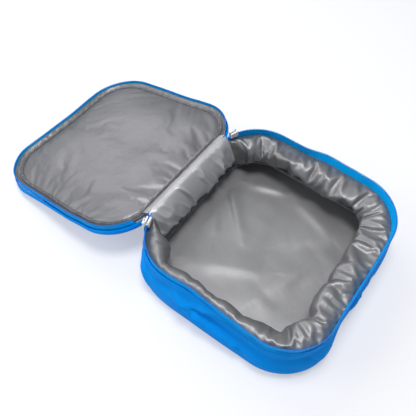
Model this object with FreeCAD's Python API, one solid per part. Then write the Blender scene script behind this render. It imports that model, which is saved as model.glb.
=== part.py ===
# Soft-sided insulated lunch box with a zip-round lid, shown lying open.
# Millimetres, +Z up, origin on the table below the middle of the body.
# +X runs along the hinge, +Y from the front of the body to the hinge.
import math
import os
import FreeCAD
import Part

os.makedirs("parts", exist_ok=True)

# Overall sizes of the outer fabric
WIDTH = 250.0
DEPTH = 236.0
RIM_HEIGHT = 66.0
LID_DEPTH = 16.0
CORNER_RADIUS = 58.0

# Sheet thicknesses
FABRIC = 1.0
FOAM = 5.0
FILM = 0.6
TAPE = 0.7

# Gap left between neighbouring layers
LAYER_GAP = 0.2

# Zip: chain section, the gap between the two closed halves, tape and seam heights
CHAIN_WIDTH = 2.1
CHAIN_HEIGHT = 1.9
CHAIN_GAP = 1.4
TAPE_WIDTH = 12.3
SEAM_LAP = 3.5

# Hinge axis behind the back face, and the gap left in a seam between two panels
HINGE_OFFSET = 3.0
SEAM_GAP = 0.3

# Slider: parked corner angle, the room kept at its two ends, plates, channel, bridge
SLIDER_ANGLE = 19.5
STOP_ROOM = 1.4
STOP_LENGTH = 2.5
LID_ROOM = 3.8
SLIDER_LENGTH = 11.0
SLIDER_FRONT = 9.2
SLIDER_REAR = 6.8
SLIDER_NOSE = 2.0
SLIDER_BEVEL = 1.5
PLATE = 1.2
CHANNEL_SIDE = 0.65
CHANNEL_SAG = 0.3
POST_CLEAR = 0.3
POST_LENGTH = 3.0
BRIDGE_SPAN = 5.8
BRIDGE_LEG = 0.8
BRIDGE_BAR = 1.1

# Pull tab
PULL_LENGTH = 24.0
PULL_WIDTH = 6.0
PULL_NECK = 3.4
PULL_SHOULDER = 6.0
PULL_THICK = 1.2
PULL_PLAY = 0.4
EYE_PLAY = 0.35
EYE_WALL = 1.25

# Lining collar: how far it stands in from the outer face, and its depth below the rim
COLLAR_INSET = 29.0
COLLAR_SHOULDER = 25.0
COLLAR_WAIST = 12.0
COLLAR_DROP = 30.0
COLLAR_ROUND = 5.0
BINDING_WIDTH = 3.2
BINDING_HEIGHT = 2.4

# Lid interior
LID_FILM_EDGE = 5.2
LID_BINDING_INSET = 8.0
LID_BINDING_WIDTH = 3.6

# Carry handle on the lid
HANDLE_WIDTH = 25.0
HANDLE_THICK = 1.6
HANDLE_SPAN = 104.0
HANDLE_RISE = 14.0
HANDLE_FOOT = 26.0
HANDLE_BEND = 25.0

# Layers counted inward from the outer face, each behind the one before it
TAPE_OUT = FABRIC + LAYER_GAP
TAPE_IN = TAPE_OUT + TAPE
CHAIN_MID = TAPE_OUT + TAPE / 2
CHAIN_OUT = CHAIN_MID - CHAIN_WIDTH / 2
CHAIN_IN = CHAIN_MID + CHAIN_WIDTH / 2
FOAM_OUT = FABRIC + LAYER_GAP
FOAM_IN = FOAM_OUT + FOAM
FILM_OUT = FOAM_IN + LAYER_GAP
SEW_OUT = TAPE_IN + LAYER_GAP
LID_FILM_OUT = SEW_OUT + FILM + LAYER_GAP

# Heights in the body
FLOOR_FOAM_LOW = FABRIC + LAYER_GAP
FLOOR_FOAM_TOP = FLOOR_FOAM_LOW + FOAM
FLOOR_FILM_LOW = FLOOR_FOAM_TOP + LAYER_GAP
FLOOR_FILM_TOP = FLOOR_FILM_LOW + FILM
FLOOR_SEAM = FLOOR_FILM_TOP + LAYER_GAP
WAIST_HEIGHT = FLOOR_SEAM + COLLAR_WAIST

# Distances from the zip line, the same above and below it
CHAIN_NEAR = CHAIN_GAP / 2
CHAIN_FAR = CHAIN_NEAR + CHAIN_HEIGHT
TAPE_FAR = CHAIN_FAR + TAPE_WIDTH - CHAIN_HEIGHT
SEAM_EDGE = TAPE_FAR - SEAM_LAP
FOAM_TOP = RIM_HEIGHT - TAPE_FAR - FOAM

# Heights in the closed lid, from the outer face down
LID_TOP = RIM_HEIGHT + LID_DEPTH
LID_INSIDE = LID_TOP - FABRIC - LAYER_GAP
LID_FOAM_LOW = LID_INSIDE - FOAM
LID_FILM_TOP = LID_FOAM_LOW - LAYER_GAP
LID_FILM_LOW = LID_FILM_TOP - FILM
LID_BINDING_TOP = LID_FILM_LOW - LAYER_GAP

# Hinge axis, and the slope at which the far edge of the open lid meets the table
HINGE_Y = DEPTH / 2 + HINGE_OFFSET
LID_REACH = DEPTH + HINGE_OFFSET
LID_SLOPE = math.degrees(
    math.asin(RIM_HEIGHT / math.hypot(LID_REACH, LID_DEPTH)) - math.atan2(LID_DEPTH, LID_REACH)
)
ARC_X = WIDTH / 2 - CORNER_RADIUS
ARC_Y = DEPTH / 2 - CORNER_RADIUS
UP = FreeCAD.Vector(0, 0, 1)

# Corner angles where each layer starts, from the length of the parked slider
TRACK_RADIUS = CORNER_RADIUS - CHAIN_MID
STOP_ANGLE = SLIDER_ANGLE - math.degrees((SLIDER_LENGTH / 2 + STOP_ROOM) / TRACK_RADIUS)
BACK_ANGLE = STOP_ANGLE - math.degrees(STOP_LENGTH / TRACK_RADIUS)
BODY_ZIP_ANGLE = STOP_ANGLE + math.degrees(SEAM_GAP / TRACK_RADIUS)
GUSSET_ANGLE = BACK_ANGLE + math.degrees(SEAM_GAP / TRACK_RADIUS)
LID_ZIP_ANGLE = SLIDER_ANGLE + math.degrees((SLIDER_LENGTH / 2 + LID_ROOM) / TRACK_RADIUS)


def point(x, y, z=0.0):
    return FreeCAD.Vector(x, y, z)


def outline(inset, z):
    """Closed rounded rectangle, set in from the outer face by inset."""
    x = WIDTH / 2 - inset
    y = DEPTH / 2 - inset
    r = CORNER_RADIUS - inset
    s = r * math.sqrt(0.5)
    edges = []
    for turn in range(4):
        sx = (1, -1, -1, 1)[turn]
        sy = (1, 1, -1, -1)[turn]
        mid = point(sx * (x - r + s), sy * (y - r + s), z)
        side = point(sx * x, sy * (y - r), z)
        end = point(sx * (x - r), sy * y, z)
        first, last = (side, end) if sx * sy > 0 else (end, side)
        if edges:
            edges.append(Part.makeLine(corner_end, first))
        else:
            start = first
        edges.append(Part.Arc(first, mid, last).toShape())
        corner_end = last
    edges.append(Part.makeLine(corner_end, start))
    return Part.Wire(edges)


def slab(inset, low, high):
    """Solid plate with the plan of the box."""
    return Part.Face(outline(inset, low)).extrude(point(0, 0, high - low))


def band(outer, inner, low, high):
    """Closed upright ring between two insets."""
    return slab(outer, low, high).cut(slab(inner, low, high))


def back_zone(angle):
    """Everything between the two back corners, out to the given corner angle."""
    reach = CORNER_RADIUS * 2
    dx = reach * math.sin(math.radians(angle))
    dy = reach * math.cos(math.radians(angle))
    corners = [
        point(-ARC_X, ARC_Y, -RIM_HEIGHT),
        point(ARC_X, ARC_Y, -RIM_HEIGHT),
        point(ARC_X + dx, ARC_Y + dy, -RIM_HEIGHT),
        point(-ARC_X - dx, ARC_Y + dy, -RIM_HEIGHT),
    ]
    face = Part.Face(Part.makePolygon(corners + corners[:1]))
    return face.extrude(point(0, 0, 4 * RIM_HEIGHT))


def funnel(profile):
    """Solid whose inset changes with height, from (inset, z) pairs."""
    return Part.makeLoft([outline(inset, z) for inset, z in profile], True, True)


def block(x0, x1, y0, y1, z0, z1):
    return Part.makeBox(x1 - x0, y1 - y0, z1 - z0, point(x0, y0, z0))


def open_lid(shape):
    """Turn a piece drawn on the closed lid back to the open rest position."""
    shape.rotate(point(0, HINGE_Y, RIM_HEIGHT), point(1, 0, 0), -(180 + LID_SLOPE))
    return shape


def export(name, shape):
    shape.exportStep("parts/" + name + ".step")


# Body: outer fabric

def bottom_panel():
    return slab(0, 0, FABRIC)


def side_gusset():
    ring = band(0, FABRIC, FABRIC + LAYER_GAP, RIM_HEIGHT - SEAM_EDGE)
    return ring.cut(back_zone(GUSSET_ANGLE))


def back_panel():
    ring = band(0, FABRIC, FABRIC + LAYER_GAP, RIM_HEIGHT - FABRIC)
    return ring.common(back_zone(BACK_ANGLE))


# Body: foam

def base_foam():
    return slab(FILM_OUT, FLOOR_FOAM_LOW, FLOOR_FOAM_TOP)


def foam_ring():
    return band(FOAM_OUT, FOAM_IN, FLOOR_FOAM_LOW, FOAM_TOP)


def wall_foam():
    return foam_ring().cut(back_zone(GUSSET_ANGLE))


def back_foam():
    return foam_ring().common(back_zone(BACK_ANGLE))


# Body: lining

def base_lining():
    return slab(FILM_OUT, FLOOR_FILM_LOW, FLOOR_FILM_TOP)


def wall_lining():
    """Loose film: sewn to the tape at the top, standing in as a collar, back to the wall at the floor."""
    collar = RIM_HEIGHT - COLLAR_DROP
    # inset, height, and the side on which the thickness is added: above the collar or below it
    profile = [
        (FILM_OUT, FLOOR_SEAM, 0),
        (COLLAR_WAIST, WAIST_HEIGHT, -1),
        (COLLAR_INSET, collar - COLLAR_ROUND, 0),
        (COLLAR_SHOULDER, collar + COLLAR_ROUND, 1),
        (FILM_OUT, FOAM_TOP + 2 * LAYER_GAP, 1),
        (SEW_OUT, RIM_HEIGHT - TAPE_FAR, 1),
        (SEW_OUT, RIM_HEIGHT - SEAM_EDGE, 0),
    ]
    outer = funnel([(inset, z) for inset, z, side in profile])
    inner = funnel([(inset + FILM, z + side * FILM) for inset, z, side in profile])
    return outer.cut(inner)


def base_seam_binding():
    lean = (COLLAR_WAIST - FILM_OUT) / (WAIST_HEIGHT - FLOOR_SEAM)
    out = FILM_OUT + 2 * FILM + lean * BINDING_HEIGHT
    return band(out, out + BINDING_WIDTH, FLOOR_SEAM, FLOOR_SEAM + BINDING_HEIGHT)


# Body: zip half and its end stops

def zip_tape(angle, side):
    near = RIM_HEIGHT + side * CHAIN_FAR
    far = RIM_HEIGHT + side * TAPE_FAR
    ring = band(TAPE_OUT, TAPE_IN, min(near, far), max(near, far))
    return ring.cut(back_zone(angle))


def zip_chain(angle, side):
    near = RIM_HEIGHT + side * CHAIN_NEAR
    far = RIM_HEIGHT + side * CHAIN_FAR
    ring = band(CHAIN_OUT, CHAIN_IN, min(near, far), max(near, far))
    return ring.cut(back_zone(angle))


def zip_end_stops():
    ring = band(CHAIN_OUT, CHAIN_IN, RIM_HEIGHT - SEAM_EDGE, RIM_HEIGHT - CHAIN_NEAR)
    inner = back_zone(BACK_ANGLE)
    outer = back_zone(STOP_ANGLE)
    return ring.common(outer).cut(inner)


# Hinge: two soft strips from the back panel to the hinge band of the lid

def hinge_length():
    return ARC_X + CORNER_RADIUS * math.sin(math.radians(BACK_ANGLE)) - 1.0


def hinge_strip():
    half = hinge_length()
    top = RIM_HEIGHT - FABRIC
    low = top - FABRIC
    return block(-half, half, DEPTH / 2 + LAYER_GAP, HINGE_Y + HINGE_OFFSET - FABRIC, low, top)


def hinge_lining():
    half = hinge_length()
    low = RIM_HEIGHT - FABRIC + LAYER_GAP
    return block(-half, half, DEPTH / 2 - FABRIC, HINGE_Y + HINGE_OFFSET - FABRIC, low, low + FILM)


# Lid, drawn closed on top of the body and then turned open

def lid_panel():
    return slab(0, LID_TOP - FABRIC, LID_TOP)


def lid_gusset():
    return band(0, FABRIC, RIM_HEIGHT + SEAM_EDGE, LID_INSIDE)


def lid_hinge_band():
    low = RIM_HEIGHT + FABRIC
    ring = band(0, FABRIC, low, RIM_HEIGHT + SEAM_EDGE - LAYER_GAP)
    return ring.common(back_zone(BACK_ANGLE))


def lid_foam():
    return slab(LID_FILM_OUT, LID_FOAM_LOW, LID_INSIDE)


def lid_lining():
    return slab(LID_FILM_OUT, LID_FILM_LOW, LID_FILM_TOP)


def lid_side_lining():
    """Narrow film strip behind the lid's tape, on all four sides."""
    return band(SEW_OUT, SEW_OUT + FILM, RIM_HEIGHT + LID_FILM_EDGE, LID_INSIDE)


def lid_binding():
    inner = LID_BINDING_INSET + LID_BINDING_WIDTH
    return band(LID_BINDING_INSET, inner, LID_BINDING_TOP - BINDING_HEIGHT, LID_BINDING_TOP)


def arch(centre_z, radius, thick, middle, half, centre_x):
    """Upright piece of bent webbing: a sector of a ring, angles in degrees from +Z."""
    outer = Part.makeCylinder(radius + thick / 2, HANDLE_WIDTH, point(0, 0, 0), point(0, 1, 0))
    inner = Part.makeCylinder(radius - thick / 2, HANDLE_WIDTH, point(0, 0, 0), point(0, 1, 0))
    reach = radius * 3
    corners = [point(0, 0, 0)]
    for angle in (middle - half, middle + half):
        a = math.radians(angle)
        corners.append(point(reach * math.sin(a), 0, reach * math.cos(a)))
    face = Part.Face(Part.makePolygon(corners + corners[:1]))
    wedge = face.extrude(point(0, HANDLE_WIDTH, 0))
    sector = outer.cut(inner).common(wedge)
    sector.translate(point(centre_x, -HANDLE_WIDTH / 2, centre_z))
    return sector


def carry_handle():
    """Webbing strap: two sewn feet, and a shallow arch between them to lift by."""
    seat = LID_TOP + LAYER_GAP
    mid = seat + HANDLE_THICK / 2
    half_span = HANDLE_SPAN / 2
    rise = 2 * math.atan2(HANDLE_RISE, half_span)
    crown = half_span / math.sin(rise) - HANDLE_BEND
    slope = math.degrees(rise)
    strap = arch(mid + HANDLE_RISE - crown, crown, HANDLE_THICK, 0, slope, 0)
    for side in (-1, 1):
        x = side * half_span
        bend = arch(mid + HANDLE_BEND, HANDLE_BEND, HANDLE_THICK, 180 + side * slope / 2, slope / 2, x)
        end = x + side * HANDLE_FOOT
        side_y = HANDLE_WIDTH / 2
        foot = block(min(x, end), max(x, end), -side_y, side_y, seat, seat + HANDLE_THICK)
        strap = strap.fuse([bend, foot])
    return strap.removeSplitter()


# Sliders, drawn at the origin with +X along the track, +Y outward, then set on the corner

def slider_plate(low):
    half = SLIDER_LENGTH / 2
    corners = [
        point(-half, low, -SLIDER_REAR / 2),
        point(0, low, -SLIDER_REAR / 2),
        point(half - SLIDER_NOSE, low, -SLIDER_FRONT / 2),
        point(half, low, -SLIDER_FRONT / 2 + SLIDER_BEVEL),
        point(half, low, SLIDER_FRONT / 2 - SLIDER_BEVEL),
        point(half - SLIDER_NOSE, low, SLIDER_FRONT / 2),
        point(0, low, SLIDER_REAR / 2),
        point(-half, low, SLIDER_REAR / 2),
    ]
    face = Part.Face(Part.makePolygon(corners + corners[:1]))
    return face.extrude(point(0, PLATE, 0))


def channel_faces():
    outer = CHAIN_WIDTH / 2 + CHANNEL_SIDE
    inner = -CHAIN_WIDTH / 2 - CHANNEL_SIDE - CHANNEL_SAG
    return outer, inner


def bridge_levels():
    """Outer plate face, pull tab seat, underside of the bar."""
    face = channel_faces()[0] + PLATE
    seat = face + PULL_PLAY
    bar = seat + PULL_THICK + PULL_PLAY
    return face, seat, bar


def slider():
    outer, inner = channel_faces()
    post_half = CHAIN_NEAR - POST_CLEAR
    front = SLIDER_LENGTH / 2 - SLIDER_NOSE / 2
    face, seat, bar = bridge_levels()
    body = slider_plate(outer)
    pieces = [slider_plate(inner - PLATE)]
    rear = front - POST_LENGTH
    pieces.append(block(rear, front, inner - PLATE / 2, outer + PLATE / 2, -post_half, post_half))
    for x in (-BRIDGE_SPAN / 2, BRIDGE_SPAN / 2):
        leg = bar + BRIDGE_BAR / 2 - face + PLATE / 2
        pieces.append(Part.makeCylinder(BRIDGE_LEG, leg, point(x, face - PLATE / 2, 0), point(0, 1, 0)))
    end = BRIDGE_SPAN / 2 + BRIDGE_LEG
    pieces.append(block(-end, end, bar, bar + BRIDGE_BAR, -BRIDGE_LEG, BRIDGE_LEG))
    return body.fuse(pieces).removeSplitter()


def pull_tab():
    """Tab hanging from the leading leg of the bridge."""
    seat = bridge_levels()[1]
    x = BRIDGE_SPAN / 2
    eye = BRIDGE_LEG + EYE_PLAY
    shoulder = -PULL_SHOULDER - (PULL_WIDTH - PULL_NECK)
    tip = -PULL_LENGTH
    tab = Part.makeCylinder(eye + EYE_WALL, PULL_THICK, point(x, seat, 0), point(0, 1, 0))
    corners = [
        point(x - PULL_NECK / 2, seat, 0),
        point(x - PULL_NECK / 2, seat, -PULL_SHOULDER),
        point(x - PULL_WIDTH / 2, seat, shoulder),
        point(x - PULL_WIDTH / 2, seat, tip + PULL_WIDTH / 2),
        point(x + PULL_WIDTH / 2, seat, tip + PULL_WIDTH / 2),
        point(x + PULL_WIDTH / 2, seat, shoulder),
        point(x + PULL_NECK / 2, seat, -PULL_SHOULDER),
        point(x + PULL_NECK / 2, seat, 0),
    ]
    face = Part.Face(Part.makePolygon(corners + corners[:1]))
    blade = face.extrude(point(0, PULL_THICK, 0))
    end = point(x, seat, tip + PULL_WIDTH / 2)
    round_end = Part.makeCylinder(PULL_WIDTH / 2, PULL_THICK, end, point(0, 1, 0))
    hole = Part.makeCylinder(eye, PULL_THICK * 3, point(x, seat - PULL_THICK, 0), point(0, 1, 0))
    low = point(x, seat - PULL_THICK, tip + PULL_WIDTH / 2)
    grip = Part.makeCylinder(PULL_WIDTH / 4, PULL_THICK * 3, low, point(0, 1, 0))
    return tab.fuse([blade, round_end]).removeSplitter().cut(hole).cut(grip)


def park(shape, side):
    """Set a piece drawn at the origin on the track at the parked corner angle."""
    if side < 0:
        shape = shape.mirror(point(0, 0, 0), point(1, 0, 0))
    a = math.radians(SLIDER_ANGLE)
    r = TRACK_RADIUS
    shape.rotate(point(0, 0, 0), UP, -side * SLIDER_ANGLE)
    shape.translate(point(side * (ARC_X + r * math.sin(a)), ARC_Y + r * math.cos(a), RIM_HEIGHT))
    return shape


# Write every piece to its own file
export("bottom_panel", bottom_panel())
export("side_gusset", side_gusset())
export("back_panel", back_panel())
export("base_foam", base_foam())
export("wall_foam", wall_foam())
export("back_foam", back_foam())
export("base_lining", base_lining())
export("wall_lining", wall_lining())
export("base_seam_binding", base_seam_binding())
export("body_zip_tape", zip_tape(BODY_ZIP_ANGLE, -1))
export("body_zip_chain", zip_chain(BODY_ZIP_ANGLE, -1))
export("zip_end_stops", zip_end_stops())
export("hinge_strip", hinge_strip())
export("hinge_lining", hinge_lining())

export("lid_panel", open_lid(lid_panel()))
export("lid_gusset", open_lid(lid_gusset()))
export("lid_hinge_band", open_lid(lid_hinge_band()))
export("lid_foam", open_lid(lid_foam()))
export("lid_lining", open_lid(lid_lining()))
export("lid_side_lining", open_lid(lid_side_lining()))
export("lid_binding", open_lid(lid_binding()))
export("lid_zip_tape", open_lid(zip_tape(LID_ZIP_ANGLE, 1)))
export("lid_zip_chain", open_lid(zip_chain(LID_ZIP_ANGLE, 1)))
export("carry_handle", open_lid(carry_handle()))

export("far_slider", park(slider(), 1))
export("near_slider", park(slider(), -1))
export("far_pull_tab", park(pull_tab(), 1))
export("near_pull_tab", park(pull_tab(), -1))
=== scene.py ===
import math
import bpy
import bmesh
from mathutils import Matrix, Vector, noise


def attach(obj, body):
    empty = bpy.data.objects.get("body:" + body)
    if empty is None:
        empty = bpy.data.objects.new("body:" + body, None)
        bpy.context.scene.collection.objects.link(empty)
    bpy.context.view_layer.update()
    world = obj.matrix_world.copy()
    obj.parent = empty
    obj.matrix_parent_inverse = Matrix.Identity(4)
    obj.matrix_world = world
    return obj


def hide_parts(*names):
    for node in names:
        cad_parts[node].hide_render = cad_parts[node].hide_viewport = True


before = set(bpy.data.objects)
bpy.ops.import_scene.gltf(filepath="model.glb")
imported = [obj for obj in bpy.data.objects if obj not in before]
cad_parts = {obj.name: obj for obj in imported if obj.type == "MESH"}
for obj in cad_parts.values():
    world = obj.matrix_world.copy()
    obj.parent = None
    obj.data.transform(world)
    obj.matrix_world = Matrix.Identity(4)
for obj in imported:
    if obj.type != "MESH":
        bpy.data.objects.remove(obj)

scene = bpy.context.scene
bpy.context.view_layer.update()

# Camera, soft daylight and a pale table top. The camera looks down over the
# near left corner of the open bag; two windows stand behind it.
scene.view_settings.view_transform = "Standard"
turn, tilt, roll = math.radians(-55.41), math.radians(55.2), math.radians(2.072)
reach, aside, above, aim_height = 0.559786, -0.073566, 0.015633, 0.066
back = Vector((math.sin(turn) * math.cos(tilt), -math.cos(turn) * math.cos(tilt), math.sin(tilt)))
right = Vector((math.cos(turn), math.sin(turn), 0))
up = back.cross(right)
level = right * math.cos(roll) + up * math.sin(roll)
upright = up * math.cos(roll) - right * math.sin(roll)
eye = back * reach + level * aside + upright * above + Vector((0, 0, aim_height))
lens = bpy.data.cameras.new("camera")
lens.sensor_width = 36
lens.lens = 1.177 * lens.sensor_width
lens.clip_start = 0.01
camera = bpy.data.objects.new("camera", lens)
stance = Matrix((level, upright, back)).transposed().to_4x4()
stance.translation = eye
camera.matrix_world = stance
scene.collection.objects.link(camera)
scene.camera = camera


class Wire:
    """A shader socket that takes part in Python sums; node() adds any other node."""

    def __init__(self, tree, socket=None):
        self.tree, self.socket = tree, socket

    def node(self, kind, settings=None, sockets=None, out=0):
        made = self.tree.nodes.new(kind)
        for key, value in (settings or {}).items():
            if key == "stops":
                ramp = made.color_ramp.elements
                while len(ramp) < len(value):
                    ramp.new(0.5)
                for stop, (place, shade) in zip(ramp, value):
                    stop.position = place
                    stop.color = (*shade, 1) if hasattr(shade, "__len__") else (shade, shade, shade, 1)
            else:
                setattr(made, key, value)
        for key, value in (sockets or {}).items():
            if isinstance(value, Wire):
                self.tree.links.new(value.socket, made.inputs[key])
            else:
                made.inputs[key].default_value = value
        return Wire(self.tree, made.outputs[out] if made.outputs else None)

    def sum(self, operation, *terms):
        return self.node("ShaderNodeMath", {"operation": operation}, dict(enumerate(terms)))

    def __add__(self, other):
        return self.sum("ADD", self, other)

    def __radd__(self, other):
        return self.sum("ADD", other, self)

    def __sub__(self, other):
        return self.sum("SUBTRACT", self, other)

    def __rsub__(self, other):
        return self.sum("SUBTRACT", other, self)

    def __mul__(self, other):
        return self.sum("MULTIPLY", self, other)

    def __rmul__(self, other):
        return self.sum("MULTIPLY", other, self)


def finish(name):
    """A new material with an empty node tree, and the wire that fills it."""
    made = bpy.data.materials.new(name)
    made.use_nodes = True
    made.node_tree.nodes.clear()
    return made, Wire(made.node_tree)


def backdrop_share(w):
    """How much of the white backdrop a ray sees: all for the camera and glass, a quarter for gloss."""
    seen, gleam, clear = (w.node("ShaderNodeLightPath", None, None, ray)
                          for ray in ("Is Camera Ray", "Is Glossy Ray", "Is Transmission Ray"))
    return w.sum("MAXIMUM", w.sum("MAXIMUM", seen, gleam * 0.25), clear)


sky = bpy.data.worlds.new("daylight")
sky.use_nodes = True
sky.node_tree.nodes.clear()
w = Wire(sky.node_tree)
backdrop_white = (0.955, 0.965, 1.0, 1)
ambient = w.node("ShaderNodeBackground", None, {"Color": (0.955, 0.97, 1.0, 1), "Strength": 0.32})
white = w.node("ShaderNodeBackground", None, {"Color": backdrop_white, "Strength": 1.0})
w.node("ShaderNodeOutputWorld", None, {"Surface": w.node("ShaderNodeMixShader", None, {
    0: backdrop_share(w), 1: ambient, 2: white})})
scene.world = sky

lamp_aim = Vector((0.0, 0.08, 0.03))
for label, place, size, power in (
    ("left_window_light", (-0.80, 1.15, 0.95), 1.0, 7.0),
    ("right_window_light", (0.58, 1.28, 1.15), 1.3, 10.0),
    ("ceiling_light", (-0.02, 0.04, 1.45), 0.5, 12.0),
):
    lamp = bpy.data.lights.new(label, "AREA")
    lamp.shape = "DISK"
    lamp.size = size
    lamp.energy = power
    holder = bpy.data.objects.new(label, lamp)
    facing = (Vector(place) - lamp_aim).to_track_quat("Z", "Y").to_matrix().to_4x4()
    facing.translation = Vector(place)
    holder.matrix_world = facing
    scene.collection.objects.link(holder)

table_finish, w = finish("table_white")
spot = w.node("ShaderNodeTexCoord", None, None, "Object")
cloud = w.node("ShaderNodeTexNoise", None, {"Vector": spot, "Scale": 3.0, "Detail": 3.0})
shade = w.node("ShaderNodeValToRGB", {"stops": [(0.3, (0.93, 0.935, 0.955)), (0.7, (0.95, 0.953, 0.965))]},
               {"Fac": cloud})
plain = w.node("ShaderNodeBsdfPrincipled", None, {
    "Base Color": shade, "Roughness": 0.75, "Specular IOR Level": 0.2})
haze = w.node("ShaderNodeEmission", None, {"Color": backdrop_white, "Strength": 1.0})
w.node("ShaderNodeOutputMaterial", None, {"Surface": w.node("ShaderNodeMixShader", None, {
    0: backdrop_share(w) * 0.45, 1: plain, 2: haze})})


def set_down(name, bm, material):
    """Makes a finished bmesh an object of the scene, at the origin, in one material."""
    mesh = bpy.data.meshes.new(name)
    bm.to_mesh(mesh)
    bm.free()
    made = bpy.data.objects.new(name, mesh)
    made.data.materials.append(material)
    scene.collection.objects.link(made)
    return made


bm = bmesh.new()
bmesh.ops.create_grid(bm, x_segments=2, y_segments=2, size=6.0)
bmesh.ops.translate(bm, verts=bm.verts, vec=(0, 0, -0.0006))
table = set_down("table", bm, table_finish)

# Side gusset: one long strip of blue woven polyester that makes the two sides
# and the front, sewn to the base below and hemmed over the zip tape above.
MM = 0.001
WIDTH, DEPTH, RIM, CORNER = 250.0, 236.0, 66.0, 58.0
SIDE_RUN, END_RUN, BEND_RUN = DEPTH - 2 * CORNER, WIDTH - 2 * CORNER, CORNER * math.pi / 2
ROUND = 2 * (SIDE_RUN + END_RUN) + 4 * BEND_RUN
HEM_TOP, TAPE_FOOT, SEAM_START = 56.5, 53.0, 77.5


def edge(run):
    """Point and outward normal of the bag's outline, at a distance from the hinge's middle towards -X."""
    ax, ay = WIDTH / 2 - CORNER, DEPTH / 2 - CORNER
    run %= ROUND
    legs = ((END_RUN / 2, 0, DEPTH / 2, -1, 0), (BEND_RUN, -ax, ay, 90), (SIDE_RUN, -WIDTH / 2, ay, 0, -1),
            (BEND_RUN, -ax, -ay, 180), (END_RUN, -ax, -DEPTH / 2, 1, 0), (BEND_RUN, ax, -ay, 270),
            (SIDE_RUN, WIDTH / 2, -ay, 0, 1), (BEND_RUN, ax, ay, 0), (END_RUN / 2, ax, DEPTH / 2, -1, 0))
    for leg in legs:
        if run <= leg[0] or leg is legs[-1]:
            break
        run -= leg[0]
    if len(leg) == 4:
        angle = math.radians(leg[3]) + run / CORNER
        n = Vector((math.cos(angle), math.sin(angle)))
        return Vector((leg[1], leg[2])) + n * CORNER, n
    d = Vector((leg[3], leg[4]))
    return Vector((leg[1], leg[2])) + d * run, Vector((d.y, -d.x))


def ease(table, run):
    """Reads a short table of (distance, value) with smooth steps between its rows."""
    run %= ROUND
    for (a, p), (b, q) in zip(table, table[1:]):
        if a <= run <= b:
            t = (run - a) / (b - a)
            return p + (q - p) * t * t * (3 - 2 * t)
    return table[-1][1]


RIM_OUT = ((0, 0), (162, 0), (192, -2), (222, -0.5), (248, 1), (285, 1.5), (330, 1.5), (395, 0), (470, 1),
           (545, -1.5), (590, -0.5), (618, 1), (646, 2.5), (684, 0), (ROUND, 0))
FLARE = ((0, 0), (96, 0), (250, 0), (330, 1.5), (430, 2.5), (560, 3.5), (650, 3.5), (684, 0), (ROUND, 0))
FOOT_OUT = ((0, 1.6), (80, 1.6), (140, 4), (175, 6), (235, 6), (285, 5), (345, 5), (400, 2), (445, 4),
            (480, 4), (540, 2), (700, 3), (790, 1.6), (ROUND, 1.6))
BELLY = ((0, 0.5), (80, 0.5), (130, 3), (175, 3.5), (215, 2.5), (240, 1), (300, 1.5), (350, 4), (400, 0.5),
         (435, 0.5), (470, 3), (520, 2.5), (620, 4.5), (700, 3.5), (790, 0.5), (ROUND, 0.5))


def lean(run, z):
    """How far the soft wall stands out from the outline at a height."""
    t = min(max(z / RIM, 0), 1)
    t = t * t * (3 - 2 * t)
    flare = ease(FLARE, run) * max(0, z - TAPE_FOOT) / 11
    return ease(FOOT_OUT, run) * (1 - t) + ease(RIM_OUT, run) * t + flare


def at(run, inset, z):
    """A point of the bag, in metres, at a distance round the outline, an inset and a height."""
    p, n = edge(run)
    p = p + n * (lean(run, z) - inset)
    return Vector((p.x, p.y, z)) * MM


def crease(run, z, a, b, width, depth):
    """A soft fold along the line from a to b on the wall, a and b as (distance, height)."""
    ab = Vector(b) - Vector(a)
    ap = Vector((run, z)) - Vector(a)
    t = min(max(ap.dot(ab) / ab.length_squared, 0), 1)
    gap = (ap - ab * t).length / (0.42 if ab.cross(ap) > 0 else 1)
    fade = math.sin(math.pi * min(max(t, 0.12), 0.88)) ** 0.5
    return depth * fade * math.exp(-(gap / width) ** 2)


FOLDS = (((148, 50), (212, 31), 7, 6.5), ((208, 32), (258, 25), 7, 6.2), ((240, 52), (192, 37), 5, 4.6),
         ((112, 50), (146, 12), 6, 3.5), ((262, 30), (318, 15), 8, 3.0),
         ((330, 48), (352, 10), 6, -4.0), ((392, 46), (440, 20), 5, 4.0),
         ((448, 50), (476, 12), 5, -4.5), ((520, 46), (566, 14), 6, 3.5), ((610, 50), (664, 18), 6, -4.0),
         ((640, 28), (690, 50), 5, 3.5), ((700, 48), (742, 12), 6, 4.0))
HOLLOW = ((0, 0), (186, 0.5), (212, 3.5), (236, 8), (300, 8), (340, 5), (385, 3), (470, 3), (500, 0),
          (ROUND, 0))
HOLLOW_Z, HOLLOW_SPREAD, FOOT_TUCK = 41, 11, 2.4
TAB_ROOM = ((0, 1), (164, 1), (188, 0), (ROUND - 188, 0), (ROUND - 164, 1), (ROUND, 1))


def wall(run, z):
    """The gusset's own surface: belly, folds and the turned-in foot, drawn flat where the pull tabs swing."""
    arch = math.sin(math.pi * min(z / HEM_TOP, 1))
    swell = ease(BELLY, run) * arch
    swell -= ease(HOLLOW, run) * math.exp(-((z - HOLLOW_Z) / HOLLOW_SPREAD) ** 2)
    for a, b, width, depth in FOLDS:
        swell += crease(run, z, a, b, width, depth) * max(0, min(1, (HEM_TOP - z) / 8, (z - 5) / 14))
    p = edge(run)[0]
    swell += 0.9 * noise.noise(Vector((p.x * 0.030, p.y * 0.030, z * 0.05))) * arch
    swell -= 0.6 * max(0, 1 - (HEM_TOP - z) / 6)
    foot = max(0, 1 - z / 5)
    inset = FOOT_TUCK * foot * foot - swell
    inset = min(inset, lean(run, z) - 0.2) if z < 50 else inset
    proud = lean(run, z) - inset - 0.7
    if proud > 0:
        inset += proud * ease(TAB_ROOM, run) * min(1, max(0, z - 33) / 7)
    return at(run, inset, z)


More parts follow.
